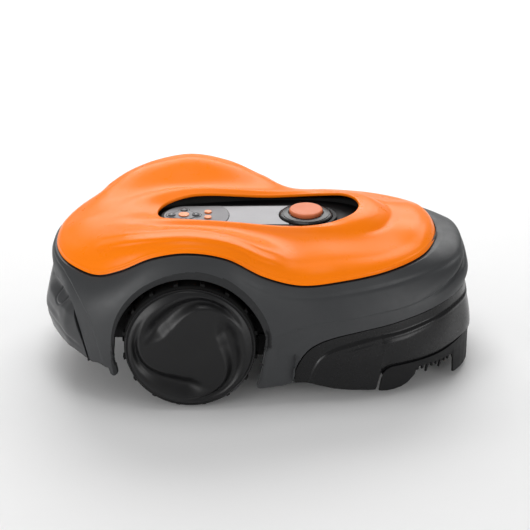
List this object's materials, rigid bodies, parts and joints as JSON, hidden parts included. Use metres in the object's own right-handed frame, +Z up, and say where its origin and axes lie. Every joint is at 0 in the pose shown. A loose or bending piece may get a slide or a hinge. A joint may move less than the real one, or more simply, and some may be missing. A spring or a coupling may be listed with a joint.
{
  "type": "robotic lawn mower",
  "caption": "Low robotic lawn mower with a floating two-colour cover, slot console, large rear drive wheels, front casters and a pivoting-blade disc.",
  "frame": {"origin": "on the ground under the middle of the mower", "axes": "+X forward along the mower, +Y to its left, +Z up"},
  "size_m": [0.5308, 0.34, 0.2147],
  "materials": {
    "cover_orange": "gloss",
    "shell_grey": "matte",
    "fascia_black": "gloss",
    "chassis_black": "matte",
    "hub_black": "satin",
    "rubber": "matte",
    "tread": "matte",
    "console_gloss": "gloss",
    "panel_grey": "gloss",
    "key_orange": "satin",
    "key_grey": "satin",
    "steel": "brushed",
    "contact_metal": "satin",
    "motor_grey": "satin",
    "battery_blue": "satin",
    "board_green": "satin",
    "coil_copper": "satin",
    "switch_red": "gloss"
  },
  "bodies": {
    "chassis": {"chassis_tub": "chassis_black", "chassis_lid": "chassis_black", "lid_gasket": "rubber", "lid_screws": "steel", "console_bezel": "console_gloss", "keypad_panel": "panel_grey", "window_panel": "panel_grey", "charge_contacts": "contact_metal", "gear_motor_right": "motor_grey", "gear_motor_left": "motor_grey", "battery_pack": "battery_blue", "battery_door": "chassis_black", "door_screws": "steel", "main_board": "board_green", "loop_sensor": "coil_copper"},
    "pillars": {"float_pillars": "rubber"},
    "covers": {"top_cover": "cover_orange", "grey_shell": "shell_grey", "front_fascia": "fascia_black", "tail_panel": "fascia_black", "comb_guard": "chassis_black", "shell_brace_front": "chassis_black", "shell_brace_rear": "chassis_black"},
    "switch": {"power_switch": "switch_red"},
    "carriage": {"cutter_carriage": "motor_grey", "cutter_motor": "steel"},
    "cutter": {"blade_disc": "hub_black", "cutter_spindle": "steel", "blade_screws": "steel"},
    "blade_one": {"blade_1": "steel"},
    "blade_two": {"blade_2": "steel"},
    "blade_three": {"blade_3": "steel"},
    "skid": {"skid_plate": "chassis_black"},
    "dial": {"height_dial": "console_gloss", "height_spindle": "steel"},
    "stop": {"stop_button": "key_orange"},
    "button_ok": {"key_ok": "key_orange"},
    "button_up": {"key_up": "key_grey"},
    "button_down": {"key_down": "key_grey"},
    "button_left": {"key_left": "key_grey"},
    "button_right": {"key_right": "key_grey"},
    "button_upper": {"key_upper": "key_orange"},
    "button_lower": {"key_lower": "key_orange"},
    "wheel_right": {"tyre_right": "tread", "wheel_rim_right": "hub_black", "hub_cap_right": "hub_black", "drive_axle_right": "steel"},
    "caster_right": {"caster_fork_right": "chassis_black", "caster_axle_right": "steel"},
    "roller_right": {"caster_wheel_right": "rubber"},
    "wheel_left": {"tyre_left": "tread", "wheel_rim_left": "hub_black", "hub_cap_left": "hub_black", "drive_axle_left": "steel"},
    "caster_left": {"caster_fork_left": "chassis_black", "caster_axle_left": "steel"},
    "roller_left": {"caster_wheel_left": "rubber"}
  },
  "joints": [
    {"name": "cover_shift", "type": "slide", "parent": "chassis", "child": "pillars", "axis": [1, 0, 0], "range_m": [-0.004, 0.004], "stiffness_N_per_m": 2500},
    {"name": "cover_lift", "type": "slide", "parent": "pillars", "child": "covers", "axis": [0, 0, 1], "range_m": [0, 0.008]},
    {"name": "power_rocker", "type": "hinge", "parent": "chassis", "child": "switch", "pos_m": [-0.1815, 0.076, 0.084], "axis": [0, 1, 0], "range_deg": [0, 20]},
    {"name": "cutter_height", "type": "slide", "parent": "chassis", "child": "carriage", "axis": [0, 0, 1], "range_m": [0, 0.025]},
    {"name": "disc_spin", "type": "hinge", "parent": "carriage", "child": "cutter", "pos_m": [0.015, 0, 0.03], "axis": [0, 0, 1], "continuous": true},
    {"name": "skid_spin", "type": "hinge", "parent": "cutter", "child": "skid", "pos_m": [0.015, 0, 0.015], "axis": [0, 0, 1], "continuous": true},
    {"name": "blade_one_swing", "type": "hinge", "parent": "cutter", "child": "blade_one", "pos_m": [-0.014, 0.05023, 0.0205], "axis": [0, 0, 1], "continuous": true},
    {"name": "blade_two_swing", "type": "hinge", "parent": "cutter", "child": "blade_two", "pos_m": [-0.014, -0.05023, 0.0205], "axis": [0, 0, 1], "continuous": true},
    {"name": "blade_three_swing", "type": "hinge", "parent": "cutter", "child": "blade_three", "pos_m": [0.073, 0, 0.0205], "axis": [0, 0, 1], "continuous": true},
    {"name": "dial_turn", "type": "hinge", "parent": "chassis", "child": "dial", "pos_m": [0.06, 0, 0.184], "axis": [0, 0, 1], "range_deg": [0, 300]},
    {"name": "stop_press", "type": "slide", "parent": "dial", "child": "stop", "axis": [0, 0, 1], "range_m": [-0.003, 0], "stiffness_N_per_m": 900},
    {"name": "key_ok_press", "type": "slide", "parent": "chassis", "child": "button_ok", "axis": [0, 0, 1], "range_m": [-0.0008, 0], "stiffness_N_per_m": 1200},
    {"name": "key_up_press", "type": "slide", "parent": "chassis", "child": "button_up", "axis": [0, 0, 1], "range_m": [-0.0008, 0], "stiffness_N_per_m": 1200},
    {"name": "key_down_press", "type": "slide", "parent": "chassis", "child": "button_down", "axis": [0, 0, 1], "range_m": [-0.0008, 0], "stiffness_N_per_m": 1200},
    {"name": "key_left_press", "type": "slide", "parent": "chassis", "child": "button_left", "axis": [0, 0, 1], "range_m": [-0.0008, 0], "stiffness_N_per_m": 1200},
    {"name": "key_right_press", "type": "slide", "parent": "chassis", "child": "button_right", "axis": [0, 0, 1], "range_m": [-0.0008, 0], "stiffness_N_per_m": 1200},
    {"name": "key_upper_press", "type": "slide", "parent": "chassis", "child": "button_upper", "axis": [0, 0, 1], "range_m": [-0.0008, 0], "stiffness_N_per_m": 1200},
    {"name": "key_lower_press", "type": "slide", "parent": "chassis", "child": "button_lower", "axis": [0, 0, 1], "range_m": [-0.0008, 0], "stiffness_N_per_m": 1200},
    {"name": "wheel_right_spin", "type": "hinge", "parent": "chassis", "child": "wheel_right", "pos_m": [-0.083, -0.145, 0.082], "axis": [0, 1, 0], "continuous": true},
    {"name": "caster_right_swivel", "type": "hinge", "parent": "chassis", "child": "caster_right", "pos_m": [0.15, -0.074, 0.06], "axis": [0, 0, 1], "continuous": true},
    {"name": "roller_right_spin", "type": "hinge", "parent": "caster_right", "child": "roller_right", "pos_m": [0.134, -0.074, 0.025], "axis": [0, 1, 0], "continuous": true},
    {"name": "wheel_left_spin", "type": "hinge", "parent": "chassis", "child": "wheel_left", "pos_m": [-0.083, 0.145, 0.082], "axis": [0, 1, 0], "continuous": true},
    {"name": "caster_left_swivel", "type": "hinge", "parent": "chassis", "child": "caster_left", "pos_m": [0.15, 0.074, 0.06], "axis": [0, 0, 1], "continuous": true},
    {"name": "roller_left_spin", "type": "hinge", "parent": "caster_left", "child": "roller_left", "pos_m": [0.134, 0.074, 0.025], "axis": [0, 1, 0], "continuous": true}
  ],
  "couplings": [
    {"joint": "dial_turn", "follows": "cutter_height", "rad_per_m": 209.44}
  ]
}
